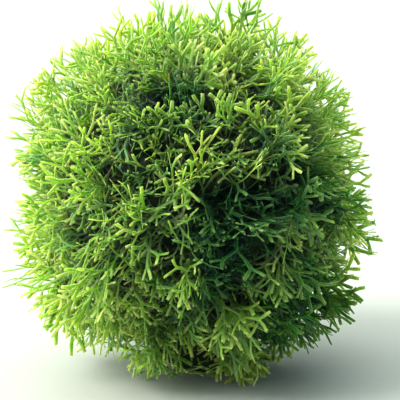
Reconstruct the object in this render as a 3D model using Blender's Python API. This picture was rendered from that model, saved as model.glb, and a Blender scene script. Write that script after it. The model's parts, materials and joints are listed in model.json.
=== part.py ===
"""A riccia topiary ball: thalli, small flat green ribbons that fork in two, tangled into a ball with a flat rest spot.

Metres, +Z up. The origin is the centre of the flat spot that the ball rests on.
Run with: blender --background --python part.py
"""

import math
import random

import bmesh
import bpy
from mathutils import Matrix, Vector, noise
from mathutils.bvhtree import BVHTree

# The ball, in metres
BALL_RADIUS = 0.0418
REST_SPOT_RADIUS = 0.0100
LOOSE_LENGTH = 0.0092  # how far the fork tips stand out of the tangled mass
TIP_UNEVENNESS = 0.0009  # how far a tip may fall short of the ball's outside, or pass it
UNEVENNESS = 0.0009  # height of the soft swells all over the ball
SWELLS_PER_RADIUS = 2.1

# One thallus, in metres and degrees
RIBBON_WIDTH = 0.0027
RIBBON_THICKNESS = 0.0015
ROOT_LENGTH = 0.0006
FORK_ANGLE = 32.0  # each branch turns this far away from its stem
BRANCH_TWIST = 30.0
MOST_LEAN = 9.0  # how far a stem leans away from straight out
ANGLE_VARIATION = 0.25  # as a share
LENGTH_VARIATION = 0.15  # as a share
LENGTH_SHARES = (0.26, 0.38, 0.44)  # of the stem, of its two branches and of their tips

# How the growth is shared out
GRID = 5  # cells along each side of the six-sided grid that the ball is blown up from
CELL_JITTER = 0.05
SPRIG_COUNT = 56
BARE_UNDERSIDE = 17.0  # degrees from straight down within which the mass bears no forks
PRESSED_UNDERSIDE = 30.0  # degrees from straight down within which the mass bulges down to the rest spot
CELL_SHARE = 1.2  # how much of the room over its cell a thallus spreads through
UNFORKED_BRANCHES = 0.18  # share of the branches of fused thalli that don't fork again
GAP = 0.0003
LEAST_DROP = 0.2  # share of its way that a direction drops, from which on its thalli can meet the floor
MOST_TRIES = 80  # how often a thallus is grown anew until its ribbons keep clear of each other and of those around
SEED = 41

# Where the outline is fuller or thinner than a circle, seen from the front and VIEW_TILT degrees above:
# angle round the outline (0 right, 90 top), how far the swell spreads (degrees), how far it stands out (metres)
VIEW_TILT = 13.0
OUTLINE_SWELLS = (
    (62.0, 24.0, 0.0014),
    (22.0, 9.0, -0.0024),
    (4.0, 14.0, -0.0034),
    (180.0, 14.0, -0.0100),
    (216.0, 12.0, 0.0026),
    (246.0, 10.0, -0.0030),
    (300.0, 16.0, 0.0052),
    (333.0, 13.0, 0.0074),
    (352.0, 8.0, -0.0060),
)

CENTRE = Vector((0, 0, math.sqrt(BALL_RADIUS**2 - REST_SPOT_RADIUS**2)))
DOWN = Vector((0, 0, -1))


def clear_scene():
    for obj in list(bpy.data.objects):
        bpy.data.objects.remove(obj, do_unlink=True)


def make_material(name, color, roughness):
    material = bpy.data.materials.new(name)
    material.use_nodes = True
    shader = material.node_tree.nodes["Principled BSDF"]
    shader.inputs["Base Color"].default_value = (*color, 1)
    shader.inputs["Roughness"].default_value = roughness
    shader.inputs["Metallic"].default_value = 0
    return material


def add_object(bm, name, material, collection):
    """Turn a finished bmesh into a named object."""
    bmesh.ops.triangulate(bm, faces=bm.faces[:])
    bmesh.ops.recalc_face_normals(bm, faces=bm.faces[:])
    mesh = bpy.data.meshes.new(name)
    bm.to_mesh(mesh)
    bm.free()
    mesh.materials.append(material)
    obj = bpy.data.objects.new(name, mesh)
    collection.objects.link(obj)
    return obj


def outline_direction(angle):
    """The direction from the ball's centre to a point of its outline, as seen from the front and a little above."""
    angle, tilt = math.radians(angle), math.radians(VIEW_TILT)
    return Vector((math.cos(angle), math.sin(angle) * math.sin(tilt), math.sin(angle) * math.cos(tilt)))


def reach(direction):
    """Distance from the ball's centre to the fork tips in a direction."""
    swells = UNEVENNESS * noise.noise(direction * SWELLS_PER_RADIUS)
    for angle, spread, height in OUTLINE_SWELLS:
        away = math.degrees(direction.angle(outline_direction(angle)))
        swells += height * math.exp(-((away / spread) ** 2))
    down_to_floor = CENTRE.z / max(-direction.z, LEAST_DROP)
    return min(BALL_RADIUS + swells, down_to_floor)


def mass_radius(direction):
    """Distance from the centre to the tangled mass's surface, which meets the tips where the ball is pressed flat."""
    spot_edge = math.degrees(math.asin(REST_SPOT_RADIUS / BALL_RADIUS))
    from_down = math.degrees(direction.angle(DOWN))
    free = min(1, max(0, (from_down - spot_edge) / (PRESSED_UNDERSIDE - spot_edge)))
    return reach(direction) - LOOSE_LENGTH * free


def turned(vector, axis, degrees):
    return Matrix.Rotation(math.radians(degrees), 3, axis) @ vector


def varied(share, rng):
    """A factor that is 1 more or less the share."""
    return 1 + share * rng.uniform(-1, 1)


def ribbon_corners(centre, along, across):
    """The four corners of a ribbon's cross-section, counterclockwise seen against the direction it grows in."""
    side = across * (RIBBON_WIDTH / 2)
    front = along.cross(across) * (RIBBON_THICKNESS / 2)
    return [centre + side + front, centre - side + front, centre - side - front, centre + side - front]


def extrude_to(bm, face, corners):
    """Extrude a four-sided face so that it ends at the given corners, each joined to the nearest old one."""
    end = bmesh.ops.extrude_discrete_faces(bm, faces=[face])["faces"][0]
    verts = [loop.vert for loop in end.loops]

    def total_distance(shift):
        return sum((vert.co - corners[(i + shift) % 4]).length for i, vert in enumerate(verts))

    shift = min(range(4), key=total_distance)
    for i, vert in enumerate(verts):
        vert.co = corners[(i + shift) % 4]
        vert.co.z = max(vert.co.z, GAP)
    end.normal_update()
    return end


def split_face(bm, face, across):
    """Split a ribbon's end down its middle and return each half with its side, +1 or -1, along across."""
    wide_edges = sorted(face.edges, key=lambda edge: -abs((edge.verts[0].co - edge.verts[1].co).dot(across)))[:2]
    middles = [bmesh.utils.edge_split(edge, edge.verts[0], 0.5)[1] for edge in wide_edges]
    other, _ = bmesh.utils.face_split(face, middles[0], middles[1])
    middle = (middles[0].co + middles[1].co) / 2
    halves = []
    for half in (face, other):
        offset = (half.calc_center_median() - middle).dot(across)
        halves.append((half, 1 if offset > 0 else -1))
    return halves


def room_over(cell):
    """The widest cone from the ball's centre that stays over a cell: its axis, and its half angle in degrees."""
    axis = (cell.calc_center_median() - CENTRE).normalized()
    edge_normals = [(edge.verts[0].co - CENTRE).cross(edge.verts[1].co - CENTRE) for edge in cell.edges]
    return axis, min(abs(90 - math.degrees(axis.angle(normal))) for normal in edge_normals) * CELL_SHARE


def kept_in(point, room):
    """The point, moved sideways where a ribbon there would leave its room."""
    axis, half_angle = room
    outward = point - CENTRE
    away = math.degrees(outward.angle(axis, 0))
    most = half_angle - math.degrees(math.atan(RIBBON_WIDTH / 2 / outward.length))
    if away <= most:
        return point
    return CENTRE + turned(outward, outward.cross(axis), away - most)


def grow(bm, face, along, across, lengths, room, rng, unforked=0):
    """Extrude a face into a ribbon that forks in two after each of the lengths but the last."""
    end = kept_in(face.calc_center_median() + along * lengths[0], room)
    face = extrude_to(bm, face, ribbon_corners(end, along, across))
    if len(lengths) == 1:
        return
    front = along.cross(across)
    for half, side in split_face(bm, face, across):
        turn = side * FORK_ANGLE * varied(ANGLE_VARIATION, rng)
        twist = BRANCH_TWIST * rng.uniform(-1, 1)
        branch_along = turned(along, front, turn)
        branch_across = turned(turned(across, front, turn), branch_along, twist)
        branch_lengths = [length * varied(LENGTH_VARIATION, rng) for length in lengths[1:]]
        if rng.random() < unforked:
            branch_lengths = [sum(branch_lengths)]
        grow(bm, half, branch_along, branch_across, branch_lengths, room, rng)


def crosses_itself(triangles, corners):
    tree = BVHTree.FromPolygons(corners, triangles)
    return any(not set(triangles[a]) & set(triangles[b]) for a, b in tree.overlap(tree))


def comes_near(branches, other):
    """Whether two thalli cross, or a corner of either lies closer than the gap to the other."""
    if branches[0].overlap(other[0]):
        return True
    for tree, corners in ((other[0], branches[1]), (branches[0], other[1])):
        if any(tree.find_nearest(corner, GAP)[0] for corner in corners):
            return True
    return False


def try_out(make, rng, neighbours, shared_corners=0):
    """Make thalli with ever new rolls of the dice until one keeps clear, and set the dice back to its roll.

    The first corners of a fused thallus are those of its cell, which it shares with the cells around.
    """
    for _ in range(MOST_TRIES):
        roll = rng.getstate()
        bm = bmesh.new()
        make(bm)
        bmesh.ops.triangulate(bm, faces=bm.faces[:])
        bm.verts.index_update()
        corners = [vert.co.copy() for vert in bm.verts]
        triangles = [[vert.index for vert in face.verts] for face in bm.faces]
        bm.free()
        own = [triangle for triangle in triangles if min(triangle) >= shared_corners]
        branches = (BVHTree.FromPolygons(corners, own), corners[shared_corners:])
        if not crosses_itself(triangles, corners) and not any(comes_near(branches, other) for other in neighbours):
            break
    rng.setstate(roll)
    neighbours.append(branches)


def any_across(along, rng):
    """A random direction square to the one given."""
    sideways = along.orthogonal().normalized()
    return turned(sideways, along, rng.uniform(0, 360))


def leaning(direction, rng):
    """A direction close to the one given."""
    return turned(direction, any_across(direction, rng), MOST_LEAN * rng.random()).normalized()


def lengths_to_tips(root, rng):
    """The lengths of a thallus's stem, branches and tips, from its root to the ball's outside."""
    outward = root - CENTRE
    length = reach(outward.normalized()) - outward.length + TIP_UNEVENNESS * rng.uniform(-1, 1)
    return [length * share for share in LENGTH_SHARES]


def make_mass(rng):
    """The tangled mass as a bare ball, cut off flat where it rests, and the cells of it that can bear growth."""
    bm = bmesh.new()
    bmesh.ops.create_cube(bm, size=2)
    bmesh.ops.subdivide_edges(bm, edges=bm.edges[:], cuts=GRID - 1, use_grid_fill=True)
    for vert in bm.verts:
        even = Vector([math.tan(c * math.pi / 4) for c in vert.co]).normalized()
        direction = (even + CELL_JITTER * Vector([rng.uniform(-1, 1) for _ in range(3)])).normalized()
        vert.co = CENTRE + direction * mass_radius(direction)
    everything = bm.verts[:] + bm.edges[:] + bm.faces[:]
    bmesh.ops.bisect_plane(bm, geom=everything, plane_co=(0, 0, 0), plane_no=DOWN, clear_outer=True)
    bmesh.ops.edgeloop_fill(bm, edges=[edge for edge in bm.edges if edge.is_boundary])
    bm.normal_update()
    cells = []
    for face in bm.faces:
        from_down = math.degrees((face.calc_center_median() - CENTRE).angle(DOWN))
        if len(face.verts) == 4 and from_down > BARE_UNDERSIDE:
            cells.append(face)
    return bm, cells


def choose_spread_out(cells, count, rng):
    """Pick cells spread evenly over the ball: each next one is the farthest from those picked, of a random half."""
    centres = {cell: cell.calc_center_median() for cell in cells}
    picked = [rng.choice(cells)]
    nearest = {cell: (centres[cell] - centres[picked[0]]).length for cell in cells}
    while len(picked) < count:
        left = [cell for cell in cells if cell not in picked]
        picked.append(max(rng.sample(left, len(left) // 2), key=nearest.get))
        for cell in cells:
            nearest[cell] = min(nearest[cell], (centres[cell] - centres[picked[-1]]).length)
    return picked


def make_sprig(name, cell, material, collection, rng, neighbours):
    """A separate thallus that stands on a cell of the mass, with its origin at its root."""
    centre = cell.calc_center_median()
    unevenness = max((vert.co - centre).dot(cell.normal) for vert in cell.verts)
    room_to_lean = RIBBON_WIDTH / 2 * math.sin(math.radians(MOST_LEAN))
    root = centre + cell.normal * (GAP + max(0, unevenness) + room_to_lean)

    def make(bm):
        along = leaning(cell.normal, rng)
        across = any_across(along, rng)
        turn = Matrix((across, along.cross(across), along)).transposed().to_4x4()
        size = Matrix.Diagonal((RIBBON_WIDTH, RIBBON_THICKNESS, ROOT_LENGTH, 1))
        place = Matrix.Translation(root + along * (ROOT_LENGTH / 2))
        bmesh.ops.create_cube(bm, size=1, matrix=place @ turn @ size)
        bm.normal_update()
        top = max(bm.faces, key=lambda face: face.normal.dot(along))
        grow(bm, top, along, across, lengths_to_tips(root, rng), room_over(cell), rng)

    try_out(make, rng, neighbours)
    bm = bmesh.new()
    make(bm)
    bmesh.ops.translate(bm, verts=bm.verts, vec=-root)
    add_object(bm, name, material, collection).location = root


def grow_fused_thallus(bm, cell, rng, neighbours):
    """A thallus rooted in the mass and part of it: the cell draws up into a stem that forks."""

    def make(bm, face):
        along = leaning(face.normal, rng)
        lengths = lengths_to_tips(face.calc_center_median(), rng)
        grow(bm, face, along, any_across(along, rng), lengths, room_over(face), rng, UNFORKED_BRANCHES)

    def make_apart(bm):
        face = bm.faces.new([bm.verts.new(vert.co) for vert in cell.verts])
        face.normal_update()
        make(bm, face)

    try_out(make_apart, rng, neighbours, shared_corners=len(cell.verts))
    make(bm, cell)


def build():
    clear_scene()
    collection = bpy.data.collections.new("riccia topiary ball")
    bpy.context.scene.collection.children.link(collection)
    old_growth = make_material("old growth", (0.045, 0.12, 0.03), 0.6)
    young_growth = make_material("young growth", (0.20, 0.42, 0.06), 0.45)
    rng = random.Random(SEED)
    bm, cells = make_mass(rng)
    sprig_cells = choose_spread_out(cells, SPRIG_COUNT, rng)
    sprig_cells.sort(key=lambda cell: -cell.calc_center_median().z)
    neighbours = []
    for number, cell in enumerate(sprig_cells, start=1):
        make_sprig(f"sprig_{number:02d}", cell, young_growth, collection, rng, neighbours)
    for cell in cells:
        if cell not in sprig_cells:
            grow_fused_thallus(bm, cell, rng, neighbours)
    add_object(bm, "tangle", old_growth, collection)


build()
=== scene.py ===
import json
import math
from functools import partial

import bpy
import numpy as np
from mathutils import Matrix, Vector

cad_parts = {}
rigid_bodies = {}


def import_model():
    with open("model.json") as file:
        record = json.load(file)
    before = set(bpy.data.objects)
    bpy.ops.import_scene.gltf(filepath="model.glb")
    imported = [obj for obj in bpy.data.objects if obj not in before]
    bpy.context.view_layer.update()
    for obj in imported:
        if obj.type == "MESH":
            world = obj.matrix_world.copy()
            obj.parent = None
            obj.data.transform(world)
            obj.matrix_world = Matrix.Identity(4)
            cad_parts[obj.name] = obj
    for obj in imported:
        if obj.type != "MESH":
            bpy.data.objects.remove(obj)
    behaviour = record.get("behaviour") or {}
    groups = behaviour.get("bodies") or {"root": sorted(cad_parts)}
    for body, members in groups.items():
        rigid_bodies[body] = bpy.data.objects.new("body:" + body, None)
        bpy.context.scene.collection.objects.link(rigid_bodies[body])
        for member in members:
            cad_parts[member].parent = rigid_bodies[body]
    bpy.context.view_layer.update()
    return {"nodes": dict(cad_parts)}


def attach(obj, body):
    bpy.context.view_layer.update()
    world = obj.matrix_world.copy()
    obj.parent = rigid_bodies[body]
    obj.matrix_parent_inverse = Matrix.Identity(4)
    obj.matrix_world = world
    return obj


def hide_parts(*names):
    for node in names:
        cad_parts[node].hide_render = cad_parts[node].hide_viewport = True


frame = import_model()
scene = bpy.context.scene
scene.view_settings.view_transform = "Standard"
rng = np.random.default_rng(7)

# the ball: where its centre is, and how far its tips reach (metres)
ball = {
    "centreHeight": 0.0410,
    "flatHeight": 0.00012,  # the lowest growth lies this far above the floor
    "softFloor": 0.00022,  # how softly growth is pressed flat there
    "tipSpread": 0.0032,  # how far stray tips may pass the outside
    "softTips": 0.0006,  # how softly they are held back there
    "searchAngle": 8,  # the outside is the farthest solid within this many degrees
    "blurAngle": 6,  # and is smoothed over this many
    "underside": 0.955,  # share straight down from which on the floor is the outside
    # dents in the outline: angle round it and spread (degrees), and depth (below 0: a swelling)
    "dents": ((254, 11, 0.0034), (23, 10, 0.0054), (43, 11, 0.0042), (60, 8, 0.0022), (80, 9, -0.0010),
              (110, 16, -0.0022), (105, 4, 0.0046), (130, 4, 0.0034), (142, 10, 0.0032),
              (161, 9, -0.0048), (179, 7, 0.0090), (200, 9, -0.0050), (241, 7, 0.0008), (321, 5, 0.0036),
              (338, 8, -0.0032), (356, 10, 0.0078)),
}
centre = np.array([0.0, 0.0, ball["centreHeight"]])


# helpers

def unit(v):
    return v / np.maximum(np.linalg.norm(v, axis=-1, keepdims=True), 1e-12)


def spreadDirections(count, jitter):
    # directions spread evenly over a sphere, each moved a little
    i = np.arange(count) + 0.5
    z = 1 - 2 * i / count
    turn = math.pi * (1 + 5 ** 0.5) * i
    flat = np.sqrt(1 - z * z)
    even = np.stack([flat * np.cos(turn), flat * np.sin(turn), z], axis=1)
    return unit(even + rng.normal(size=even.shape) * jitter / math.sqrt(count))


def waves(points, size, seed, count=14):
    # a smooth field from -1 to 1 over points on a unit sphere
    own = np.random.default_rng(seed)
    total = np.zeros(len(points))
    for _ in range(count):
        pull = unit(own.normal(size=3)) * size * own.uniform(0.6, 1.4)
        total += np.cos(points @ pull + own.uniform(0, 2 * math.pi))
    return np.clip(total / math.sqrt(count) * 1.1, -1, 1)


def scatter(count, size):
    return rng.normal(size=(count, 3)) * size


def degreesFrom(middle, directions):
    return np.degrees(np.arccos(np.clip(directions @ middle, -1, 1)))


def squareTo(v, along):
    return unit(v - along * np.sum(v * along, axis=-1, keepdims=True))


def turnedAbout(v, axis, angle):
    # v turned about axes square to it
    c, s = np.cos(angle)[:, None], np.sin(angle)[:, None]
    return v * c + np.cross(axis, v) * s


def cadPoints(name):
    mesh = frame["nodes"][name].data
    points = np.zeros(len(mesh.vertices) * 3)
    mesh.vertices.foreach_get("co", points)
    return points.reshape(-1, 3)


# how far the ball reaches in each direction, taken from the solids

reachRows, reachColumns = 37, 72  # one row and column for every 5 degrees
allPoints = np.concatenate([cadPoints(name) for name in sorted(frame["nodes"])])
outward = allPoints - centre
radii = np.linalg.norm(outward, axis=1)
cadDirections = outward / radii[:, None]
polar = np.linspace(0, math.pi, reachRows)
around = np.arange(reachColumns) * 2 * math.pi / reachColumns
gridPolar, gridAround = np.meshgrid(polar, around, indexing="ij")
gridDirections = np.stack([
    np.sin(gridPolar) * np.cos(gridAround),
    np.sin(gridPolar) * np.sin(gridAround),
    np.cos(gridPolar),
], axis=-1).reshape(-1, 3)
closeness = gridDirections @ cadDirections.T
near = closeness > math.cos(math.radians(ball["searchAngle"]))
localMost = np.where(near, radii[None, :], 0).max(axis=1)
# the flat spot has few corners, so straight down the floor itself is the outside
floorAway = ball["centreHeight"] / np.maximum(-gridDirections[:, 2], 0.3)
atFloor = gridDirections[:, 2] < -ball["underside"]
localMost = np.where(atFloor, floorAway, np.minimum(localMost, floorAway))
blur = np.exp((gridDirections @ gridDirections.T - 1) / math.radians(ball["blurAngle"]) ** 2)
mostAround = (blur @ localMost) / blur.sum(axis=1)
for angle, spread, deep in ball["dents"]:
    middle = np.array([math.cos(math.radians(angle)), 0, math.sin(math.radians(angle))])
    away = degreesFrom(middle, gridDirections)
    mostAround -= deep * np.exp(-(away / spread) ** 2)
reachGrid = mostAround.reshape(reachRows, reachColumns)


def reach(directions):
    # distance from the centre to the outside, read from the grid
    row = np.arccos(np.clip(directions[:, 2], -1, 1)) / math.pi * (reachRows - 1)
    column = (np.arctan2(directions[:, 1], directions[:, 0]) / (2 * math.pi) % 1) * reachColumns
    r0 = np.minimum(row.astype(int), reachRows - 2)
    c0 = column.astype(int) % reachColumns
    c1 = (c0 + 1) % reachColumns
    fr, fc = row - r0, column - np.floor(column)
    upper = reachGrid[r0, c0] * (1 - fc) + reachGrid[r0, c1] * fc
    lower = reachGrid[r0 + 1, c0] * (1 - fc) + reachGrid[r0 + 1, c1] * fc
    return upper * (1 - fr) + lower * fr


viewTilt = math.radians(13)  # the photo looks down on the ball this much
pixelsPerMetre = 4380
nearRadius = 0.04  # of the ball, where a place in the photo is turned into a direction


def viewToDirection(x, y):
    # the direction from the centre to the point of the near side that the photo shows there
    right, up = x / pixelsPerMetre, -y / pixelsPerMetre
    near = math.sqrt(max(nearRadius ** 2 - right ** 2 - up ** 2, 1e-8))
    return unit(np.array([
        right,
        -near * math.cos(viewTilt) + up * math.sin(viewTilt),
        near * math.sin(viewTilt) + up * math.cos(viewTilt),
    ]))


# painted shade: growth is painted darker and bluer on the shaded side, in round areas with uneven edges
paintedLightAndShade = {
    # pixels right of and below the ball's middle, darkest within and untouched past (degrees), how dark
    "areas": ((88, 34, 15.0, 24.0, 1.0), (112, 112, 26.0, 36.0, 1.0), (44, 150, 11.0, 25.0, 0.84),
              (90, 102, 15.0, 23.0, 0.98), (84, -60, 6.0, 26.0, 0.8), (2, -92, 10.0, 24.0, 0.84),
              (-62, 48, 4.0, 18.0, 0.5)),
    "uneven": 12.0,  # how unevenly their edges run, in degrees
    "unevenSize": 7.0,  # higher: more and smaller bays
    "unevenSeed": 51,
    "paintedSunSide": (-0.85, -0.05, 0.45),  # painted light: growth is painted more yellow on this lit side
    "paintedRimSide": (0.98, -0.05, 0.18),  # and painted more yellow round this way, as light on the far rim
}


# painted shade: how much of it falls in each direction
def paintedShade(directions):
    share = np.zeros(len(directions))
    uneven = paintedLightAndShade["uneven"] * waves(directions, paintedLightAndShade["unevenSize"], paintedLightAndShade["unevenSeed"])
    for x, y, inner, outer, strength in paintedLightAndShade["areas"]:
        away = degreesFrom(viewToDirection(x, y), directions) + uneven
        within = np.clip((outer - away) / (outer - inner), 0, 1)
        share = np.maximum(share, strength * within * within * (3 - 2 * within))
    return share


print("reach of the ball, mm:", round(reachGrid.min() * 1000, 1), "to", round(reachGrid.max() * 1000, 1))


# forked ribbons

ribbon = {
    "thickness": 0.21,  # as a share of the width
    "rootWidth": 0.8,  # at the root, as a share of the width further on
    "rootThickness": 1.3,
    "forkWidth": 1.50,  # a ribbon widens this much where it forks
    "crotchRise": 0.28,  # how high the crotch of a fork lies, in widths
    "notch": 0.165,  # how deep a blunt tip is notched, in widths
    "tipGrown": 0.55,  # ribbons that end are at least this young from their start on
    "radialShare": 0.7,  # how strongly a ribbon turns outward, next to its plant's lean
    "bendLength": 0.003,  # a ribbon of this length bends in full
}
# six points round a ribbon: how far across and in front they lie, and how near an edge
ringAcross = np.array([0.5, 0.25, -0.25, -0.5, -0.25, 0.25])
ringFront = np.array([0.0, 0.5, 0.5, 0.0, -0.5, -0.5])
ringEdge = np.array([1.0, 0.35, 0.35, 1.0, 0.35, 0.35])


def newGrowth():
    return {"points": [], "quads": [], "tris": [], "quadUv": [], "triUv": [],
            "grown": [], "edge": [], "tone": [], "count": 0, "segments": 0}


def addPoints(growth, points, grown, edge, tone):
    first, shape = growth["count"], points.shape[:-1]
    growth["points"].append(points.reshape(-1, 3))
    for name, values in (("grown", grown), ("edge", edge), ("tone", tone)):
        growth[name].append(np.broadcast_to(values, shape).reshape(-1))
    growth["count"] += math.prod(shape)
    return first + np.arange(math.prod(shape)).reshape(shape)


def addRing(growth, place, along, across, width, thickness, grown, tone):
    front = np.cross(along, across)
    points = (place[:, None] + across[:, None] * (ringAcross[None, :, None] * width[:, None, None])
              + front[:, None] * (ringFront[None, :, None] * thickness[:, None, None]))
    return addPoints(growth, points, grown[:, None], ringEdge[None, :], tone[:, None])


# each ribbon has a square cell of its own in the UV map
cellMargin = 0.06
bandTop = 0.9  # height in the cell where its bands end; tips and roots lie above


def addFaces(growth, corners, cell, places):
    # one face on each ribbon, and its place in the ribbon's cell: sixths across, and height
    kind = "quad" if len(corners) == 4 else "tri"
    growth[kind + "s"].append(np.stack(corners, axis=1))
    growth[kind + "Uv"].append((cell, np.array(places) / (6, 1)))


def addBand(growth, low, high, cell, v0, v1, skip=()):
    # a band of four-sided faces between two rings
    for i in range(6):
        if i not in skip:
            j = (i + 1) % 6
            addFaces(growth, [low[:, i], low[:, j], high[:, j], high[:, i]], cell,
                     [(i, v0), (i + 1, v0), (i + 1, v1), (i, v1)])


def addForkBand(growth, low, high, frontMiddle, backMiddle, cell, v0):
    # the last band before a fork, with a middle point on both faces
    addBand(growth, low, high, cell, v0, bandTop, skip=(1, 4))
    for i, middle in ((1, frontMiddle), (4, backMiddle)):
        addFaces(growth, [low[:, i], low[:, i + 1], high[:, i + 1], middle], cell,
                 [(i, v0), (i + 1, v0), (i + 1, bandTop), (i + 0.5, bandTop)])
        addFaces(growth, [low[:, i], middle, high[:, i]], cell,
                 [(i, v0), (i + 0.5, bandTop), (i, bandTop)])


def addTip(growth, ring, tip, cell, v0):
    for i in range(6):
        addFaces(growth, [ring[:, i], ring[:, (i + 1) % 6], tip], cell,
                 [(i, v0), (i + 1, v0), (i + 0.5, bandTop)])


def addRoot(growth, ring, cell):
    places = ((0.3, 0.97), (0.3, 0.99), (0.72, 0.995), (1.2, 0.99), (1.2, 0.97), (0.72, 0.965))
    for i in range(1, 5):
        addFaces(growth, [ring[:, k] for k in (0, i + 1, i)], cell, [places[k] for k in (0, i + 1, i)])


def planLevels(plants, spec):
    # random choices for every ribbon of every plant, level by level
    levels = []
    count = len(plants["root"])
    owner, parent, side = np.arange(count), np.zeros(count, int), np.zeros(count)
    for level, length in enumerate(spec["lengths"]):
        n = len(owner)
        last = level == len(spec["lengths"]) - 1
        forks = np.zeros(n, bool) if last else rng.random(n) < spec["forkChance"][level]
        levels.append({
            "owner": owner, "parent": parent, "side": side, "forks": forks,
            "length": length * (1 + spec["lengthVariation"] * rng.uniform(-1, 1, n)) * np.where(
                forks | last, 1, spec["unforkedLonger"]),
            "forkAngle": np.radians(spec["forkAngle"]) * (
                1 + spec["angleVariation"] * rng.uniform(-1, 1, (n, 2))),
            "twist": np.radians(spec["twist"]) * rng.uniform(-1, 1, n),
            "bend": rng.normal(size=(n, 3)) * spec["bend"],
        })
        forked = np.nonzero(forks)[0]
        owner = np.repeat(owner[forked], 2)
        parent = np.repeat(forked, 2)
        side = np.tile([1.0, -1.0], len(forked))
        if len(owner) == 0:
            break
    return levels


def placeLevels(plants, levels, spec, scale):
    # where every ribbon runs, once its lengths are scaled
    tips = []
    for level, plan in enumerate(levels):
        owner = plan["owner"]
        if level == 0:
            start, along, across = plants["root"], plants["along"], plants["across"]
        else:
            up = levels[level - 1]
            p, side = plan["parent"], plan["side"][:, None]
            angle = up["forkAngle"][p, (side[:, 0] < 0).astype(int)][:, None]
            endAlong, endAcross = up["endAlong"][p], up["endAcross"][p]
            start = up["end"][p] + side * endAcross * (ribbon["forkWidth"] * up["width"][p] / 4)[:, None]
            along = endAlong * np.cos(angle) + side * endAcross * np.sin(angle)
            across = endAcross * np.cos(angle) - side * endAlong * np.sin(angle)
        length = plan["length"] * scale[owner]
        radial = unit(start - centre)
        pull = spec["outwardPull"] * (radial * ribbon["radialShare"] + plants["lean"][owner]) + plan["bend"]
        endAlong = unit(along + pull * (length / ribbon["bendLength"])[:, None])
        endAcross = squareTo(across, endAlong)
        endAcross = turnedAbout(endAcross, endAlong, plan["twist"])
        plan.update({
            "start": start, "along": along, "across": across, "endAlong": endAlong, "endAcross": endAcross,
            "scaled": length, "end": start + length[:, None] * (along + endAlong) / 2,
            "width": plants["width"][owner] * spec["widths"][level],
        })
        done = ~plan["forks"]
        tips.append((owner[done], plan["end"][done]))
    return np.concatenate([t[0] for t in tips]), np.concatenate([t[1] for t in tips])


def growPlants(growth, plants, spec):
    # plants: root, along, across, lean, width, target radius and tone of each
    levels = planLevels(plants, spec)
    count = len(plants["root"])
    rootRadius = np.linalg.norm(plants["root"] - centre, axis=1)
    scale = np.ones(count)
    for _ in range(4):
        owner, ends = placeLevels(plants, levels, spec, scale)
        most = np.zeros(count)
        np.maximum.at(most, owner, np.linalg.norm(ends - centre, axis=1))
        wanted = (plants["target"] - rootRadius) / np.maximum(most - rootRadius, 0.001)
        scale = np.clip(scale * np.clip(wanted, 0.7, 1.4), spec["leastScale"], spec["mostScale"])
    placeLevels(plants, levels, spec, scale)

    base = None
    path = {}
    for level, plan in enumerate(levels):
        n = len(plan["owner"])
        tone = plants["tone"][plan["owner"]]
        cell = growth["segments"] + np.arange(n)
        growth["segments"] += n
        before = np.zeros(n) if level == 0 else path["length"][plan["parent"]]
        path = {"length": before + plan["scaled"]}
        whole = sum(spec["lengths"]) * scale[plan["owner"]]
        width0 = plan["width"]
        nextWidth = plants["width"][plan["owner"]] * spec["widths"][min(level + 1, len(spec["widths"]) - 1)]
        if level == 0:
            ring = addRing(growth, plan["start"], plan["along"], plan["across"],
                           width0 * ribbon["rootWidth"],
                           width0 * ribbon["thickness"] * ribbon["rootThickness"], np.zeros(n), tone)
            addRoot(growth, ring, cell)
        else:
            ring = base

        def crossSection(t, which):
            along = unit(plan["along"][which] * (1 - t) + plan["endAlong"][which] * t)
            across = squareTo(plan["across"][which] * (1 - t) + plan["endAcross"][which] * t, along)
            place = plan["start"][which] + plan["scaled"][which, None] * (
                plan["along"][which] * (t - t * t / 2) + plan["endAlong"][which] * (t * t / 2))
            grown = np.clip((before[which] + plan["scaled"][which] * t) / whole[which], 0, 1)
            return place, along, across, grown

        forks, ends = np.nonzero(plan["forks"])[0], np.nonzero(~plan["forks"])[0]
        # ribbons that fork
        low, v0 = ring[forks], 0.0
        for t in spec["innerSteps"]:
            place, along, across, grown = crossSection(t, forks)
            width = width0[forks]
            thick = width * ribbon["thickness"]
            high = addRing(growth, place, along, across, width, thick, grown, tone[forks])
            addBand(growth, low, high, cell[forks], v0, bandTop * t)
            low, v0 = high, bandTop * t
        place, along, across, grown = crossSection(1.0, forks)
        width = width0[forks] * ribbon["forkWidth"]
        thick = width0[forks] * ribbon["thickness"]
        high = addRing(growth, place, along, across, width, thick, grown, tone[forks])
        front = np.cross(along, across) * thick[:, None] / 2
        rise = along * (ribbon["crotchRise"] * width)[:, None]
        frontMiddle, backMiddle, crotch = [
            addPoints(growth, place + offset, grown, edge, tone[forks])
            for offset, edge in ((front, 0.1), (-front, 0.1), (rise, 0.9))
        ]
        addForkBand(growth, low, high, frontMiddle, backMiddle, cell[forks], v0)
        right = np.stack([high[:, 0], high[:, 1], frontMiddle, crotch, backMiddle, high[:, 5]], axis=1)
        left = np.stack([crotch, frontMiddle, high[:, 2], high[:, 3], high[:, 4], backMiddle], axis=1)
        base = np.stack([right, left], axis=1).reshape(-1, 6)
        # ribbons that end
        low, v0 = ring[ends], 0.0
        for t, share in zip(spec["tipSteps"], spec["tipWidths"]):
            place, along, across, grown = crossSection(t, ends)
            width = nextWidth[ends] * share
            thick = width0[ends] * ribbon["thickness"] * min(1, share)
            grown = np.minimum(1, np.maximum(grown, ribbon["tipGrown"] + (1 - ribbon["tipGrown"]) * t))
            high = addRing(growth, place, along, across, width, thick, grown, tone[ends])
            addBand(growth, low, high, cell[ends], v0, bandTop * t)
            low, v0 = high, bandTop * t
        place, along, across, grown = crossSection(1.0, ends)
        tip = addPoints(growth, place - along * (ribbon["notch"] * width0[ends])[:, None],
                        np.ones(len(ends)), 0.6, tone[ends])
        addTip(growth, low, tip, cell[ends], v0)
        if len(forks) == 0:
            break


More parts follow.
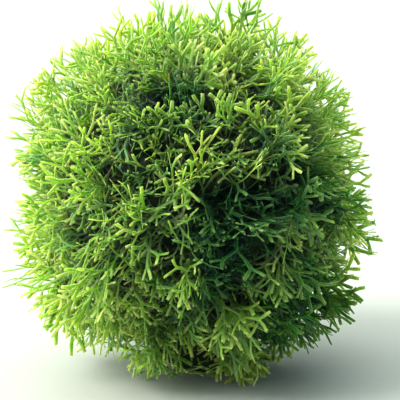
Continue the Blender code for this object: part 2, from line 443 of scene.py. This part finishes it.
def settle(points):
    # nothing passes the ball's outside, and growth near the floor is pressed flat
    out = points - centre
    radius = np.linalg.norm(out, axis=1)
    directions = unit(out)
    most = reach(directions) + ball["tipSpread"]
    soft = ball["softTips"]
    over = np.maximum(radius - most + soft, 0)
    points = centre + directions * (radius - over + soft * np.tanh(over / (2 * soft)))[:, None]
    return pressFlat(points)


def pressFlat(points):
    low, soft = ball["flatHeight"], ball["softFloor"]
    above = (points[:, 2] - low) / soft
    points[:, 2] = low + soft * (np.maximum(above, 0) + np.log1p(np.exp(-np.abs(above))))
    return points


readValues = ("grown", "edge", "tone", "depth", "paintedShade")
pieces = []


def addValues(mesh, points, *values):
    # what the materials read at every point
    directions = unit(points - centre)
    depth = np.linalg.norm(points - centre, axis=1) / reach(directions)
    for name, numbers in zip(readValues, (*values, depth, paintedShade(directions))):
        mesh.attributes.new(name, "FLOAT", "POINT").data.foreach_set("value", numbers.astype(np.float32))


def makePiece(name, growth, material):
    # one mesh with its UV map, riding on the body
    points = settle(np.concatenate(growth["points"]))
    quads, tris = np.concatenate(growth["quads"]), np.concatenate(growth["tris"])
    loops = np.concatenate([quads.reshape(-1), tris.reshape(-1)])
    starts = np.concatenate([np.arange(len(quads)) * 4, len(quads) * 4 + np.arange(len(tris)) * 3])
    mesh = bpy.data.meshes.new(name)
    mesh.vertices.add(len(points))
    mesh.vertices.foreach_set("co", points.reshape(-1))
    mesh.loops.add(len(loops))
    mesh.loops.foreach_set("vertex_index", loops.astype(np.int32))
    mesh.polygons.add(len(starts))
    mesh.polygons.foreach_set("loop_start", starts.astype(np.int32))
    mesh.update(calc_edges=True)
    mesh.polygons.foreach_set("use_smooth", np.ones(len(starts), bool))

    side = math.ceil(math.sqrt(growth["segments"]))
    uvs = []
    for key, corners in (("quadUv", 4), ("triUv", 3)):
        for cell, shape in growth[key]:
            corner = np.stack([cell % side, cell // side], axis=1) / side
            inCell = cellMargin + (1 - 2 * cellMargin) * shape[None]
            uvs.append((corner[:, None] + inCell / side).reshape(-1, 2))
    layer = mesh.uv_layers.new(name="OFBake")
    layer.data.foreach_set("uv", np.concatenate(uvs).reshape(-1))
    addValues(mesh, points, *(np.concatenate(growth[name]) for name in readValues[:3]))
    mesh.materials.append(material)
    mesh.validate()
    piece = bpy.data.objects.new(name, mesh)
    scene.collection.objects.link(piece)
    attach(piece, "root")
    pieces.append(piece)
    return piece


# materials

def addNode(tree, kind, place, **settings):
    node = tree.nodes.new(kind)
    node.location = place
    for key, value in settings.items():
        setattr(node, key, value)
    return node


def feed(tree, node, values):
    # numbers and colours set a node's inputs, and other nodes' outputs are linked to them
    for name, value in values.items():
        if isinstance(value, (int, float, tuple)):
            node.inputs[name].default_value = value
        else:
            tree.links.new(value, node.inputs[name])


def mixColour(tree, place, factor, first, second, blend="MIX"):
    node = addNode(tree, "ShaderNodeMix", place, data_type="RGBA", blend_type=blend)
    feed(tree, node, {"Factor": factor, 6: first, 7: second})
    return node.outputs[2]


def calculate(tree, place, operation, *values):
    node = addNode(tree, "ShaderNodeMath", place, operation=operation)
    feed(tree, node, dict(enumerate(values)))
    return node.outputs[0]


def smoothRange(tree, place, value, low, high, to0=0.0, to1=1.0):
    node = addNode(tree, "ShaderNodeMapRange", place, interpolation_type="SMOOTHSTEP")
    feed(tree, node, {"Value": value, "From Min": low, "From Max": high, "To Min": to0, "To Max": to1})
    return node.outputs[0]


surfaceGrain = {
    "coarse": 160,  # sizes of the uneven colour, the mottling and the cells of the surface
    "fine": 1400,
    "cells": 5200,
    "roughness": (0.34, 0.56),
    "mottle": (0.80, 1.15),  # darkest and lightest, as shares of the colour
    "height": 0.00012,
}


def makeThallusGroup():
    # colour, roughness and height of a thallus, from its age, its edge and its depth in the ball, with
    # painted light and shade
    group = bpy.data.node_groups.new("thallusSurface", "ShaderNodeTree")
    mix, maths, ramp = (partial(step, group) for step in (mixColour, calculate, smoothRange))
    sockets = (("INPUT", "Float", readValues), ("INPUT", "Color", colourNames),
               ("OUTPUT", "Color", ["colour"]), ("OUTPUT", "Float", ["roughness", "height"]))
    for side, kind, names in sockets:
        for name in names:
            group.interface.new_socket(name=name, in_out=side, socket_type="NodeSocket" + kind)
    source = addNode(group, "NodeGroupInput", (-1400, 0)).outputs
    place = addNode(group, "ShaderNodeTexCoord", (-1400, -400)).outputs["Object"]
    coarse = addNode(group, "ShaderNodeTexNoise", (-1150, -300))
    fine = addNode(group, "ShaderNodeTexNoise", (-1150, -550))
    cells = addNode(group, "ShaderNodeTexVoronoi", (-1150, -800))
    for node, size in ((coarse, "coarse"), (fine, "fine"), (cells, "cells")):
        feed(group, node, {"Vector": place, "Scale": surfaceGrain[size]})
    feed(group, fine, {"Detail": 3})

    # younger towards the tips
    uneven = maths((-950, -300), "SUBTRACT", coarse.outputs[0], 0.5)
    age = maths((-750, -200), "MULTIPLY_ADD", uneven, 0.5, source["grown"])
    young = ramp((-550, -100), age, 0.25, 0.85)
    colour = mix((-350, 0), young, source["matureColour"], source["youngColour"])
    # yellow in sunny tufts, bluish in cool ones: tone that differs by tuft, with painted light that makes
    # the lit side and the far rim yellower and the side away from the light bluer
    sunny = maths((-750, 100), "MULTIPLY_ADD", uneven, 0.9, source["tone"])
    colour = mix((-150, 100), ramp((-550, 100), sunny, 0.45, 1.0), colour, source["sunnyColour"])
    cool = ramp((-550, 250), sunny, 0.36, 0.04, 0.0, 0.85)
    colour = mix((-50, 250), cool, colour, source["coolColour"])
    # aged in patches, away from the outside
    aged = maths((-350, 400), "MULTIPLY", ramp((-550, 400), uneven, 0.06, 0.18, 0.0, 0.7),
                 ramp((-550, 550), source["depth"], 0.95, 0.84))
    colour = mix((0, 350), aged, colour, source["agedColour"])
    # pale young tips, partly a painted highlight that is stronger in sunny tufts; and lighter edges
    atTip = maths((-350, -350), "MULTIPLY", ramp((-550, -350), source["grown"], 0.86, 0.99),
                  ramp((-550, -450), sunny, 0.10, 0.50, 0.30, 1.0))
    colour = mix((50, 100), atTip, colour, source["tipColour"])
    rib = ramp((-150, -400), source["edge"], 0.0, 1.0, 0.0, 0.22)
    colour = mix((150, 250), rib, colour, source["youngColour"])
    # old and dull inside the ball, and painted shade: darker deeper in, and more so on the shaded side
    deep = maths((-750, -600), "MULTIPLY_ADD", uneven, 0.16, source["depth"])
    deep = maths((-650, -700), "MULTIPLY_ADD", source["paintedShade"], -0.06, deep)
    inside = ramp((-550, -600), deep, 0.88, 0.66)
    inside = maths((50, -600), "MULTIPLY", inside,
                   ramp((-150, -750), source["paintedShade"], 0.0, 0.6, 0.45, 1.0))
    colour = mix((250, 100), inside, colour, source["oldAndShadeColour"])
    # painted shade: darker on the shaded side, but less so at the outer tips of sunny tufts, which stay
    # light as painted highlights
    litTip = ramp((-150, -900), source["grown"], 0.75, 0.95, 0.0, 0.40)
    for x, factor in ((50, ramp((-150, -1050), source["depth"], 0.88, 0.98)),
                      (200, ramp((-150, -1350), sunny, 0.25, 0.50, 0.1, 1.0)),
                      (350, ramp((-150, -1650), source["paintedShade"], 0.86, 0.98, 1.0, 0.35))):
        litTip = maths((x, -900), "MULTIPLY", litTip, factor)
    paintedShadeShare = maths((50, -1050), "MULTIPLY", source["paintedShade"],
                   maths((50, -1200), "SUBTRACT", 1.0, litTip))
    paintedShadeColour = mix((250, -50), paintedShadeShare, (1.0, 1.0, 1.0, 1.0), source["paintedShadeTint"])
    colour = mix((350, 100), 1.0, colour, paintedShadeColour, "MULTIPLY")
    mottle = ramp((50, -200), fine.outputs[0], 0.3, 0.75, *surfaceGrain["mottle"])
    tint = addNode(group, "ShaderNodeCombineColor", (250, -200))
    feed(group, tint, {0: mottle, 1: mottle, 2: mottle})
    colour = mix((450, 100), 1.0, colour, tint.outputs[0], "MULTIPLY")
    roughness = ramp((450, -300), fine.outputs[0], 0.25, 0.75, *surfaceGrain["roughness"])
    bumps = maths((250, -700), "MULTIPLY_ADD", cells.outputs["Distance"], 0.5, fine.outputs[0])
    out = addNode(group, "NodeGroupOutput", (900, 0))
    feed(group, out, {"colour": colour, "roughness": roughness, "height": bumps})
    return group


# what each kind of growth looks like; the tint multiplies the colour where painted shade falls on the
# shaded side
youngLook = {
    "youngColour": (0.225, 0.445, 0.062),
    "matureColour": (0.100, 0.250, 0.064),
    "oldAndShadeColour": (0.060, 0.140, 0.064),
    "tipColour": (0.520, 0.670, 0.160),
    "sunnyColour": (0.430, 0.560, 0.055),
    "coolColour": (0.070, 0.225, 0.092),
    "agedColour": (0.190, 0.210, 0.070),
    "paintedShadeTint": (0.115, 0.225, 0.37),
    "subsurface": 0.85,
    "subsurfaceRadius": (0.74, 1.0, 0.28),
    "subsurfaceScale": 0.0011,
    "specular": 0.22,
    "bump": 0.30,
}
oldLook = {
    "youngColour": (0.160, 0.200, 0.085),
    "matureColour": (0.095, 0.130, 0.060),
    "oldAndShadeColour": (0.030, 0.046, 0.028),
    "tipColour": (0.200, 0.280, 0.100),
    "sunnyColour": (0.135, 0.105, 0.065),
    "coolColour": (0.070, 0.110, 0.060),
    "agedColour": (0.130, 0.110, 0.060),
    "paintedShadeTint": (0.60, 0.60, 0.62),
    "subsurface": 0.3,
    "subsurfaceRadius": (0.85, 1.0, 0.40),
    "subsurfaceScale": 0.0006,
    "specular": 0.12,
    "bump": 0.5,
}
# the knitted mass: dull old growth, painted darker still as the shade deep inside the ball
massLook = {
    **oldLook,
    "youngColour": (0.057, 0.084, 0.049),
    "matureColour": (0.042, 0.065, 0.042),
    "oldAndShadeColour": (0.027, 0.046, 0.034),
    "tipColour": (0.057, 0.084, 0.049),
    "sunnyColour": (0.057, 0.053, 0.034),
    "coolColour": (0.027, 0.046, 0.038),
    "agedColour": (0.049, 0.049, 0.030),
    "paintedShadeTint": (0.60, 0.65, 0.75),
    "subsurface": 0.0,
    "specular": 0.05,
    "bump": 1.0,
}
colourNames = [name for name in youngLook if name.endswith(("Colour", "Tint"))]


def makeThallusMaterial(name, look):
    material = bpy.data.materials.new(name)
    material.use_nodes = True
    tree = material.node_tree
    shader = tree.nodes["Principled BSDF"]
    surface = addNode(tree, "ShaderNodeGroup", (-350, 0), node_tree=thallusGroup)
    for k, name in enumerate(readValues):
        reader = addNode(tree, "ShaderNodeAttribute", (-650, 200 - 180 * k), attribute_name=name)
        feed(tree, surface, {name: reader.outputs["Fac"]})
    feed(tree, surface, {name: (*look[name], 1.0) for name in colourNames})
    bump = addNode(tree, "ShaderNodeBump", (-120, -250))
    feed(tree, bump, {"Strength": look["bump"], "Distance": surfaceGrain["height"],
                      "Height": surface.outputs["height"]})
    feed(tree, shader, {"Base Color": surface.outputs["colour"], "Roughness": surface.outputs["roughness"],
                        "Normal": bump.outputs[0], "Subsurface Weight": look["subsurface"],
                        "Subsurface Radius": look["subsurfaceRadius"],
                        "Subsurface Scale": look["subsurfaceScale"],
                        "Specular IOR Level": look["specular"]})
    return material


thallusGroup = makeThallusGroup()
youngThallus = makeThallusMaterial("youngThallus", youngLook)
oldThallus = makeThallusMaterial("oldThallus", oldLook)
knitted = makeThallusMaterial("knitted", massLook)
print("materials made")


# the carpet of young thalli

carpet = {
    "narrowShare": 1.5,  # above 1, narrow ribbons are more common than broad ones
    "jitter": 1.4,  # how unevenly the thalli are shared out
    "tuftJitter": 0.8,  # and the tufts
    "rootRadius": (0.62, 0.72),  # where the roots lie, as a share of the way to the outside
    "rootHeight": 0.0012,  # the lowest roots lie this far above flatHeight
    "levelBelow": (0.001, 0.022),  # roots this low grow level, ever less so over that much more height
    "dip": (0.15, 0.95),  # how steeply they may grow down: there, and added further up
    "tuftLean": 0.34,  # how strongly whole regions lean one way
    "leanSize": 9.0,  # higher: smaller regions
    "leanSeed": 31,
    "leanOn": 0.5,  # how much of the lean bends them further on
    "droopBelow": 0.45,  # growth hangs down from this height on the unit sphere
    # how yellow a thallus is: on average, and what its tuft, its region, both sides and chance add; both
    # sides add painted light
    "tone": 0.28,
    "tuftTone": 0.24,
    "regionTone": 0.14,
    "paintedSunTone": 0.14,
    "paintedRimTone": 0.30,
    "chanceTone": 0.10,
    "toneSize": 5.0,
    "toneSeed": 77,
    "paintedRimFrom": (0.72, 0.25),  # where the painted light on the far rim starts, and how soon it is full
}
# long sprays reach the outside, the cushion fills in between them and stays lower
sprays = {
    "ribbonWidth": (0.00058, 0.00098),
    "plants": 430,
    "tufts": 100,
    "gather": 0.74,  # how far roots are pulled to their tuft's middle
    "fan": 1.9,  # how strongly a tuft's thalli lean apart
    "sway": 0.28,  # how strongly whole tufts lean
    "plantLean": 0.252,
    "droop": 0.35,  # how far growth hangs down
    "short": (-0.0008, 0.0036),  # how far the tips stay behind the outside
    "ragged": 0.0062,  # how far whole tufts stand out or stay back
    "lengths": (0.0039, 0.0032, 0.0032, 0.0033),
    "forkChance": (1.0, 1.0, 0.80),
    "forkAngle": 28.0,
    "bend": 0.19,
    "twist": 24.0,
    "outwardPull": 0.18,
}
cushion = {
    "plants": 1250,
    "tufts": 420,
    "gather": 0.35,
    "fan": 0.9,
    "sway": 0.42,
    "plantLean": 0.66,
    "droop": 0.5,
    "short": (0.0042, 0.0092),
    "ragged": 0.0010,
    "lengths": (0.0040, 0.0033, 0.0027, 0.0024),
    "forkChance": (1.0, 1.0, 0.60),
    "forkAngle": 31.0,
    "bend": 0.26,
    "outwardPull": 0.10,
}
inner = {
    "plants": 460,
    "tufts": 460,
    "fan": 0.4,
    "sway": 0.3,
    "plantLean": 0.96,
    "droop": 0.4,
    "short": (0.0075, 0.0112),
    "ragged": 0.0008,
    "lengths": (0.0044, 0.0036, 0.0028),
    "forkChance": (1.0, 0.7),
    "forkAngle": 31.0,
    "bend": 0.20,
    "outwardPull": 0.06,
}
# slender thalli that hang down over the others
hanging = {
    "plants": 200,
    "tufts": 200,
    "fan": 0.2,
    "sway": 0.0,
    "plantLean": 0.42,
    "droop": 1.8,
    "short": (0.0020, 0.0070),
    "ragged": 0.0010,
    "lengths": (0.0062, 0.0046, 0.0030, 0.0020),
    "forkChance": (0.85, 0.6, 0.3),
    "forkAngle": 24.0,
    "bend": 0.16,
    "outwardPull": 0.05,
}
# thalli that lie along the floor around the rest spot
underneath = {
    "plants": 46,
    "ring": (0.0045, 0.0100),  # how far from the middle they root
    "rootHeight": (0.0006, 0.0030),
    "rise": (0.02, 0.42),  # how steeply they start
    "tipRing": (0.0150, 0.0215),  # how far out their tips lie
    "tipHeight": 0.002,
    "tone": (0.1, 0.5),
    "chance": {"turn": 0.4, "heading": 0.18, "roll": 0.3},
    "lengths": (0.0036, 0.0030, 0.0025, 0.0020),
    "forkChance": (1.0, 0.9, 0.4),
    "forkAngle": 29.0,
    "bend": 0.08,
    "twist": 18.0,
    "outwardPull": 0.0,
}
# what they share, unless it is given above
common = {
    "ribbonWidth": (0.00048, 0.00088),
    "gather": 0.0,
    "twist": 40.0,
    "unforkedLonger": 1.25,
    "widths": (0.72, 0.80, 0.88, 0.94, 0.96),
    "innerSteps": (0.5,),
    "tipSteps": (0.5, 0.95),
    "tipWidths": (1.05, 0.93),
    "lengthVariation": 0.34,
    "angleVariation": 0.38,
    "leastScale": 0.60,
    "mostScale": 1.6,
}
# dark hollows between the tufts: pixels right of and below the ball's middle, and how wide (mm)
hollows = ((-28, -66, 2.2), (-50, -34, 2.2), (46, -82, 1.8), (95, -48, 1.8), (-54, 53, 2.6), (40, 22, 2.0),
           (66, 44, 2.2), (74, 72, 2.0), (-25, 80, 1.6), (112, 80, 1.5), (33, 150, 2.0))


def ribbonWidths(count, kind):
    narrow, broad = kind["ribbonWidth"]
    return narrow + (broad - narrow) * rng.random(count) ** carpet["narrowShare"]


def carpetPlants(directions, kind):
    n = len(directions)
    tufts = spreadDirections(kind["tufts"], carpet["tuftJitter"])
    tuftReach = rng.uniform(-1, 1, len(tufts))
    tuftTone = rng.uniform(-1, 1, len(tufts))
    tuftSway = scatter(len(tufts), kind["sway"])
    nearest = np.argmax(directions @ tufts.T, axis=1)
    sway = [waves(directions, carpet["leanSize"], carpet["leanSeed"] + k) for k in range(3)]
    lean = np.stack(sway, axis=1) * carpet["tuftLean"] + tuftSway[nearest] + scatter(n, kind["plantLean"])
    lean[:, 2] -= kind["droop"] * np.clip(carpet["droopBelow"] - directions[:, 2], 0, 1)
    lean = lean - directions * np.sum(lean * directions, axis=1, keepdims=True)
    target = reach(directions) + kind["ragged"] * tuftReach[nearest] - rng.uniform(*kind["short"], n)
    # painted light: the lit side and the far rim are made yellower through the tone
    paintedSunSide = directions @ unit(np.array(paintedLightAndShade["paintedSunSide"]))
    paintedRimSide = directions @ unit(np.array(paintedLightAndShade["paintedRimSide"]))
    first, blend = carpet["paintedRimFrom"]
    paintedRimSide = np.clip((paintedRimSide - first) / blend, 0, 1)
    region = waves(directions, carpet["toneSize"], carpet["toneSeed"])
    tone = np.clip(carpet["tone"] + carpet["tuftTone"] * tuftTone[nearest] + carpet["regionTone"] * region
                   + carpet["paintedSunTone"] * paintedSunSide + carpet["paintedRimTone"] * paintedRimSide
                   + rng.normal(size=n) * carpet["chanceTone"], 0, 1)
    width = ribbonWidths(n, kind)
    share = rng.uniform(*carpet["rootRadius"], n)
    # the roots of a tuft are gathered, and its thalli fan out from them
    away = directions - tufts[nearest]
    rootDirections = unit(directions - away * kind["gather"])
    root = centre + rootDirections * (reach(rootDirections) * share)[:, None]
    root[:, 2] = np.maximum(root[:, 2], ball["flatHeight"] + carpet["rootHeight"])
    along = rootDirections + away * kind["fan"] + lean
    # near the floor the thalli spread sideways and don't grow down
    level, blend = carpet["levelBelow"]
    least, more = carpet["dip"]
    along[:, 2] = np.maximum(along[:, 2], -least - more * np.clip((root[:, 2] - level) / blend, 0, 1))
    along = unit(along)
    across = squareTo(scatter(n, 1), along)
    return {"root": root, "along": along, "across": across, "lean": lean * carpet["leanOn"],
            "width": width, "target": target, "tone": tone}


def outsideHollows(directions):
    keep = np.ones(len(directions), bool)
    for x, y, size in hollows:
        away = np.radians(degreesFrom(viewToDirection(x, y), directions))
        keep &= away * ball["centreHeight"] * 1000 > size
    return directions[keep]


def countTriangles(piece):
    return sum(len(face.vertices) - 2 for face in piece.data.polygons)


sectorNames = ("Top", "Bottom", "Front", "Back", "Left", "Right")
sectorAxes = np.array([(0, 0, 1), (0, 0, -1), (0, -1, 0), (0, 1, 0), (-1, 0, 0), (1, 0, 0)], float)
growths = [newGrowth() for _ in sectorNames]
innerGrowth = newGrowth()
for kind in (sprays, cushion, hanging):
    directions = outsideHollows(spreadDirections(kind["plants"], carpet["jitter"]))
    spec = {**common, **kind}
    plants = carpetPlants(directions, spec)
    sector = np.argmax(directions @ sectorAxes.T, axis=1)
    for k, growth in enumerate(growths):
        growPlants(growth, {key: value[sector == k] for key, value in plants.items()}, spec)
spec = {**common, **inner}
growPlants(innerGrowth, carpetPlants(spreadDirections(inner["plants"], carpet["jitter"]), spec), spec)


def floorPlants():
    n, chance = underneath["plants"], underneath["chance"]
    turn = (np.arange(n) + rng.uniform(-chance["turn"], chance["turn"], n)) * 2 * math.pi / n
    flat = np.stack([np.cos(turn), np.sin(turn), np.zeros(n)], axis=1)
    root = flat * rng.uniform(*underneath["ring"], n)[:, None]
    root[:, 2] = rng.uniform(*underneath["rootHeight"], n)
    along = flat + np.array([0, 0, 1]) * rng.uniform(*underneath["rise"], n)[:, None]
    along = unit(along + scatter(n, chance["heading"]))
    across = squareTo(np.cross(along, [0, 0, 1]) + scatter(n, chance["roll"]), along)
    tip = flat * rng.uniform(*underneath["tipRing"], n)[:, None] + [0, 0, underneath["tipHeight"]]
    return {"root": root, "along": along, "across": across, "lean": np.zeros((n, 3)),
            "width": ribbonWidths(n, common), "target": np.linalg.norm(tip - centre, axis=1),
            "tone": rng.uniform(*underneath["tone"], n)}


growPlants(growths[sectorNames.index("Bottom")], floorPlants(), {**common, **underneath})

growthNames = [*("thalli" + name for name in sectorNames), "innerThalli"]
for name, growth in zip(growthNames, (*growths, innerGrowth)):
    piece = makePiece(name, growth, youngThallus)
    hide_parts("tangle")
    print(name, countTriangles(piece), "triangles")


# the sprigs, each in the place of its solid

sprigs = {
    "thalli": 5,  # in the place of each sprig
    "lengths": (0.0040, 0.0033, 0.0029, 0.0027),
    "fan": 0.38,  # how far the outer ones lean to both sides
    "rootDepth": 0.0030,  # how far below the sprig's foot they root
    "footDepth": 0.0016,  # how much of the solid is its foot
    "endDepth": 0.0035,  # and how much its ends
    "tone": (0.2, 0.75),
    # how much chance adds
    "chance": {"lean": 0.05, "heading": 0.10, "root": 0.0005, "roll": 0.35, "reach": 0.0006, "tone": 0.08},
}
sprigSpec = {**common, **sprays, "lengths": sprigs["lengths"]}

for name in sorted(frame["nodes"]):
    if not name.startswith("sprig"):
        continue
    points = cadPoints(name)
    radius = np.linalg.norm(points - centre, axis=1)
    foot = points[radius < radius.min() + sprigs["footDepth"]].mean(axis=0)
    ends = points[radius > radius.max() - sprigs["endDepth"]]
    heading = unit(ends.mean(axis=0) - foot)
    spread = ends - ends.mean(axis=0)
    broad = np.linalg.svd(spread, full_matrices=False)[2][0]  # the way in which its forks spread
    n, chance = sprigs["thalli"], sprigs["chance"]
    lean = scatter(n, chance["lean"])
    fan = np.linspace(-sprigs["fan"], sprigs["fan"], n)[:, None]
    alongs = unit(heading + broad * fan + scatter(n, chance["heading"]))
    roots = foot - heading * sprigs["rootDepth"] + scatter(n, chance["root"])
    acrosses = squareTo(np.tile(broad, (n, 1)) + scatter(n, chance["roll"]), alongs)
    growth = newGrowth()
    growPlants(growth, {
        "root": roots, "along": alongs, "across": acrosses, "lean": lean,
        "width": ribbonWidths(n, sprigSpec),
        "target": np.full(n, radius.max()) + rng.normal(size=n) * chance["reach"],
        "tone": np.clip(rng.uniform(*sprigs["tone"]) + rng.normal(size=n) * chance["tone"], 0, 1),
    }, sprigSpec)
    piece = makePiece(name + "_thalli", growth, youngThallus)
    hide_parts(name)
print("sprigs made")


# old stems, tangled under the young thalli

stems = {
    "count": 520,
    "jitter": 1.5,
    "radius": (0.62, 0.74),  # where they start, as a share of the way to the outside
    "most": 0.79,  # and how far out they come
    "lowest": 0.002,
    "width": (0.00055, 0.00080),
    "thickness": 0.6,  # as a share of the width
    "length": 0.017,
    "lengthSpread": (0.7, 1.2),
    "steps": 9,
    "rise": (-0.1, 0.35),  # how steeply they start outward
    "wander": 0.16,
    "sink": 0.06,  # how strongly they turn back inward
}


def growStems(growth):
    n, steps, top = stems["count"], stems["steps"], 0.85  # top: where the bands end in a UV cell
    directions = spreadDirections(n, stems["jitter"])
    place = centre + directions * (reach(directions) * rng.uniform(*stems["radius"], n))[:, None]
    place[:, 2] = np.maximum(place[:, 2], stems["lowest"])
    along = squareTo(scatter(n, 1), directions)
    along = unit(along + directions * rng.uniform(*stems["rise"], n)[:, None])
    across = squareTo(scatter(n, 1), along)
    width = rng.uniform(*stems["width"], n)
    tone = rng.random(n)
    cell = growth["segments"] + np.arange(n)
    growth["segments"] += n
    thick = width * stems["thickness"]
    step = stems["length"] / steps * rng.uniform(*stems["lengthSpread"], n)
    ring = addRing(growth, place, along, across, width, thick, np.zeros(n), tone)
    addRoot(growth, ring, cell)
    for k in range(steps):
        radial = unit(place - centre)
        along = unit(along + scatter(n, stems["wander"]) - radial * stems["sink"])
        across = squareTo(across, along)
        place = place + along * step[:, None]
        out = place - centre
        far = np.linalg.norm(out, axis=1)
        place = centre + out * np.minimum(1, stems["most"] * reach(unit(out)) / far)[:, None]
        grown = np.full(n, 0.5 * (k + 1) / steps)
        high = addRing(growth, place, along, across, width, thick, grown, tone)
        addBand(growth, ring, high, cell, top * k / steps, top * (k + 1) / steps)
        ring = high
    tip = addPoints(growth, place + along * width[:, None] * 0.4, 0.55, 0.6, tone)
    addTip(growth, ring, tip, cell, top)


growth = newGrowth()
growStems(growth)
piece = makePiece("oldStems", growth, oldThallus)
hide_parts("tangle")
print("old stems made")


# the dense knitted mass that everything grows from

mass = {
    "share": 0.655,  # of the way to the outside
    "lumps": ((14, 5, 14, 0.030), (34, 6, 14, 0.024), (80, 8, 24, 0.012)),  # size, seed, waves and height
    "lumpHeight": 0.06,  # of the lightest lumps
    "footFrom": 0.90,  # share straight down from which on it bulges down to the rest spot
    "footBlend": 0.08,
    "footBulge": 0.33,
}


def makeMass():
    bpy.ops.mesh.primitive_ico_sphere_add(subdivisions=6, radius=1)
    piece = bpy.context.object
    piece.name = piece.data.name = "knittedMass"
    mesh = piece.data
    mesh.uv_layers[0].name = "OFBake"
    points = np.zeros(len(mesh.vertices) * 3)
    mesh.vertices.foreach_get("co", points)
    directions = unit(points.reshape(-1, 3))
    lumps = sum(high * waves(directions, size, seed, count) for size, seed, count, high in mass["lumps"])
    foot = np.clip((-directions[:, 2] - mass["footFrom"]) / mass["footBlend"], 0, 1)
    radius = reach(directions) * (mass["share"] + lumps + mass["footBulge"] * foot ** 2 * (3 - 2 * foot))
    points = centre + directions * radius[:, None]
    mesh.vertices.foreach_set("co", settle(points).reshape(-1))
    mesh.polygons.foreach_set("use_smooth", np.ones(len(mesh.polygons), bool))
    # painted shade: hollows are darker and lumps lighter
    light = lumps / mass["lumpHeight"]
    addValues(mesh, points, 0.15 + 0.3 * light, 0 * lumps, 0.5 + 0.4 * light)
    mesh.update()
    mesh.materials.append(knitted)
    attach(piece, "root")
    pieces.append(piece)
    return piece


piece = makeMass()
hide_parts("tangle")
print("knitted mass made;", sum(countTriangles(piece) for piece in pieces), "triangles in all")


# floor, light and camera

studio = {
    "keyDirection": (-0.66, -0.20, 0.72),
    "keyStrength": 2.8,
    "keySoftness": 26,
    "keyColour": (1.0, 0.98, 0.93),
    "skyDirection": (-0.70, 0.36, 0.62),
    "brightSide": 2.9,  # of the soft light around, towards skyDirection
    "darkSide": 0.08,  # and away from it
    "backDirection": (0.80, 0.58, 0.10),
    "backSide": 1.2,  # added towards backDirection
    "skyBlend": 0.95,  # how soon the soft light is full, and where the back light starts
    "backFrom": 0.55,
    "brightColour": (1.0, 1.0, 0.97, 1),
    "darkColour": (0.75, 0.93, 1.0, 1),
    "floorRadius": 3.0,
    "floorColour": (0.53, 0.57, 0.50),
    "floorSpeckle": 0.97,  # its darkest specks, as a share of its colour
    "speckleSize": 900,  # higher: smaller specks
    "floorRoughness": 0.7,
    "floorSpecular": 0.2,
    "backdropStrength": 1.1,
    "cameraDistance": 0.5,
    "lens": 197.0,
    "aim": (0.00205, -0.0018),  # metres right of and above the ball's centre
}


def dotWith(tree, place, vector, direction):
    node = addNode(tree, "ShaderNodeVectorMath", place, operation="DOT_PRODUCT")
    feed(tree, node, {0: vector, 1: direction})
    return node.outputs["Value"]


def makeFloor():
    bpy.ops.mesh.primitive_circle_add(vertices=96, radius=studio["floorRadius"], fill_type="NGON")
    floor = bpy.context.object
    floor.name = "floor"
    material = bpy.data.materials.new("floor")
    material.use_nodes = True
    tree = material.node_tree
    shader = tree.nodes["Principled BSDF"]
    place = addNode(tree, "ShaderNodeTexCoord", (-900, 0)).outputs["Object"]
    speckle = addNode(tree, "ShaderNodeTexNoise", (-700, 0))
    feed(tree, speckle, {"Scale": studio["speckleSize"], "Vector": place})
    plain = (*studio["floorColour"], 1.0)
    specks = (*(studio["floorSpeckle"] * value for value in studio["floorColour"]), 1.0)
    colour = mixColour(tree, (-300, 100), speckle.outputs[0], plain, specks)
    feed(tree, shader, {"Base Color": colour, "Roughness": studio["floorRoughness"],
                        "Specular IOR Level": studio["floorSpecular"]})
    floor.data.materials.append(material)


def makeLight():
    towards = Vector(studio["keyDirection"]).normalized()
    sun = bpy.data.lights.new("key", "SUN")
    sun.energy = studio["keyStrength"]
    sun.angle = math.radians(studio["keySoftness"])
    sun.color = studio["keyColour"]
    lamp = bpy.data.objects.new("key", sun)
    lamp.rotation_euler = towards.to_track_quat("Z", "Y").to_euler()
    scene.collection.objects.link(lamp)
    # the soft light around: bright above and behind on the left, dark in front on the right
    world = bpy.data.worlds.new("studio")
    scene.world = world
    world.use_nodes = True
    tree = world.node_tree
    around = tree.nodes["Background"]
    direction = addNode(tree, "ShaderNodeTexCoord", (-900, 0)).outputs["Generated"]
    facing = dotWith(tree, (-700, 0), direction, tuple(Vector(studio["skyDirection"]).normalized()))
    share = smoothRange(tree, (-500, 0), facing, 0.0, studio["skyBlend"])
    colour = mixColour(tree, (-300, 100), share, studio["darkColour"], studio["brightColour"])
    strength = smoothRange(tree, (-300, -200), facing, 0.0, studio["skyBlend"],
                           studio["darkSide"], studio["brightSide"])
    back = dotWith(tree, (-700, -400), direction, tuple(Vector(studio["backDirection"]).normalized()))
    back = smoothRange(tree, (-500, -400), back, studio["backFrom"], 1.0, 0.0, studio["backSide"])
    strength = calculate(tree, (-100, -200), "ADD", strength, back)
    feed(tree, around, {"Color": colour, "Strength": strength})
    backdrop = addNode(tree, "ShaderNodeBackground", (0, -250))
    seen = addNode(tree, "ShaderNodeLightPath", (0, 250)).outputs["Is Camera Ray"]
    mixer = addNode(tree, "ShaderNodeMixShader", (250, 0))
    feed(tree, backdrop, {"Color": (1.0, 1.0, 1.0, 1.0), "Strength": studio["backdropStrength"]})
    feed(tree, mixer, {0: seen, 1: around.outputs[0], 2: backdrop.outputs[0]})
    feed(tree, tree.nodes["World Output"], {"Surface": mixer.outputs[0]})


def makeCamera():
    lens = bpy.data.cameras.new("camera")
    lens.lens = studio["lens"]
    lens.sensor_width = 36
    lens.clip_start = 0.01
    camera = bpy.data.objects.new("camera", lens)
    backward = Vector((0, -math.cos(viewTilt), math.sin(viewTilt)))
    upward = Vector((0, math.sin(viewTilt), math.cos(viewTilt)))
    right, up = studio["aim"]
    target = Vector(centre) + Vector((1, 0, 0)) * right + upward * up
    camera.location = target + backward * studio["cameraDistance"]
    camera.rotation_euler = backward.to_track_quat("Z", "Y").to_euler()
    scene.collection.objects.link(camera)
    scene.camera = camera


makeFloor()
makeLight()
makeCamera()
print("studio made")
